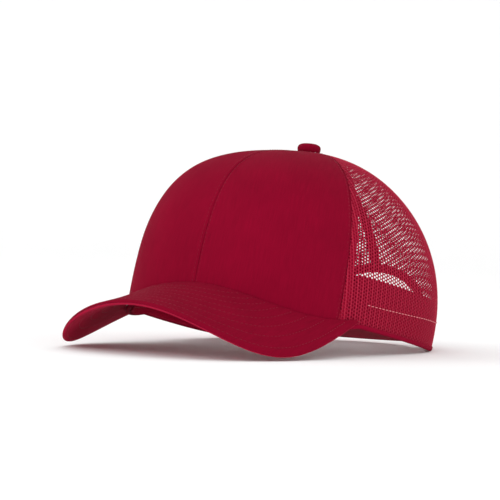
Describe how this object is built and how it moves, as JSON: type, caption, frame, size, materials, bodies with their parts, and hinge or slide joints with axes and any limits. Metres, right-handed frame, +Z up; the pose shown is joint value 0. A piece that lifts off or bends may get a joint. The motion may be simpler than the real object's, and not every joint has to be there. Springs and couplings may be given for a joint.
{
  "type": "trucker mesh cap",
  "caption": "Trucker cap with a curved visor, stiffened fabric front, open mesh sides and back, covered top button, sweatband and an adjustable snap closure across the back arch.",
  "frame": {"origin": "on the table that the cap stands on, under the centre of its bounding box", "axes": "+X to the wearer's left, +Y to the back of the cap, +Z up; the visor points along -Y and the cap stands on its two visor corners and the back hem"},
  "size_m": [0.1616, 0.2708, 0.1227],
  "materials": {
    "front_twill": "matte brushed cotton twill, crimson",
    "visor_twill": "matte cotton twill, crimson, sewn in rows",
    "mesh": "semi-matte knitted polyester mesh, red",
    "tape": "matte woven tape, red",
    "sweatband": "matte cotton twill band, red",
    "buckram": "stiffened open-weave cotton, off-white",
    "visor_board": "moulded sheet, pale grey",
    "strap_plastic": "satin moulded plastic, red",
    "button_metal": "pressed steel"
  },
  "bodies": {
    "cap": {"front_panel_left": "front_twill", "front_panel_right": "front_twill", "front_buckram_left": "buckram", "front_buckram_right": "buckram", "side_mesh_left": "mesh", "side_mesh_right": "mesh", "back_mesh_left": "mesh", "back_mesh_right": "mesh", "seam_tape_front": "tape", "seam_tape_front_left": "tape", "seam_tape_front_right": "tape", "seam_tape_back_left": "tape", "seam_tape_back_right": "tape", "seam_tape_back": "tape", "arch_binding": "tape", "sweatband": "sweatband", "visor_top_fabric": "visor_twill", "visor_board": "visor_board", "visor_under_fabric": "visor_twill", "button_cover": "front_twill", "button_shell": "button_metal", "button_rivet": "button_metal", "button_washer": "button_metal", "strap_anchor_left": "strap_plastic", "strap_anchor_right": "strap_plastic"},
    "hole_strap": {"strap_with_holes": "strap_plastic"},
    "stud_strap": {"strap_with_studs": "strap_plastic"}
  },
  "joints": [
    {"name": "hole_strap_flex", "type": "hinge", "parent": "cap", "child": "hole_strap", "pos_m": [-0.03818, 0.11678, 0.01176], "axis": [0, 0.0872, 0.9962], "range_deg": [0, 60], "stiffness_Nm_per_rad": 0.02},
    {"name": "stud_strap_flex", "type": "hinge", "parent": "cap", "child": "stud_strap", "pos_m": [0.03715, 0.11556, 0.01187], "axis": [0, 0.0872, 0.9962], "range_deg": [0, 30], "stiffness_Nm_per_rad": 0.02}
  ]
}
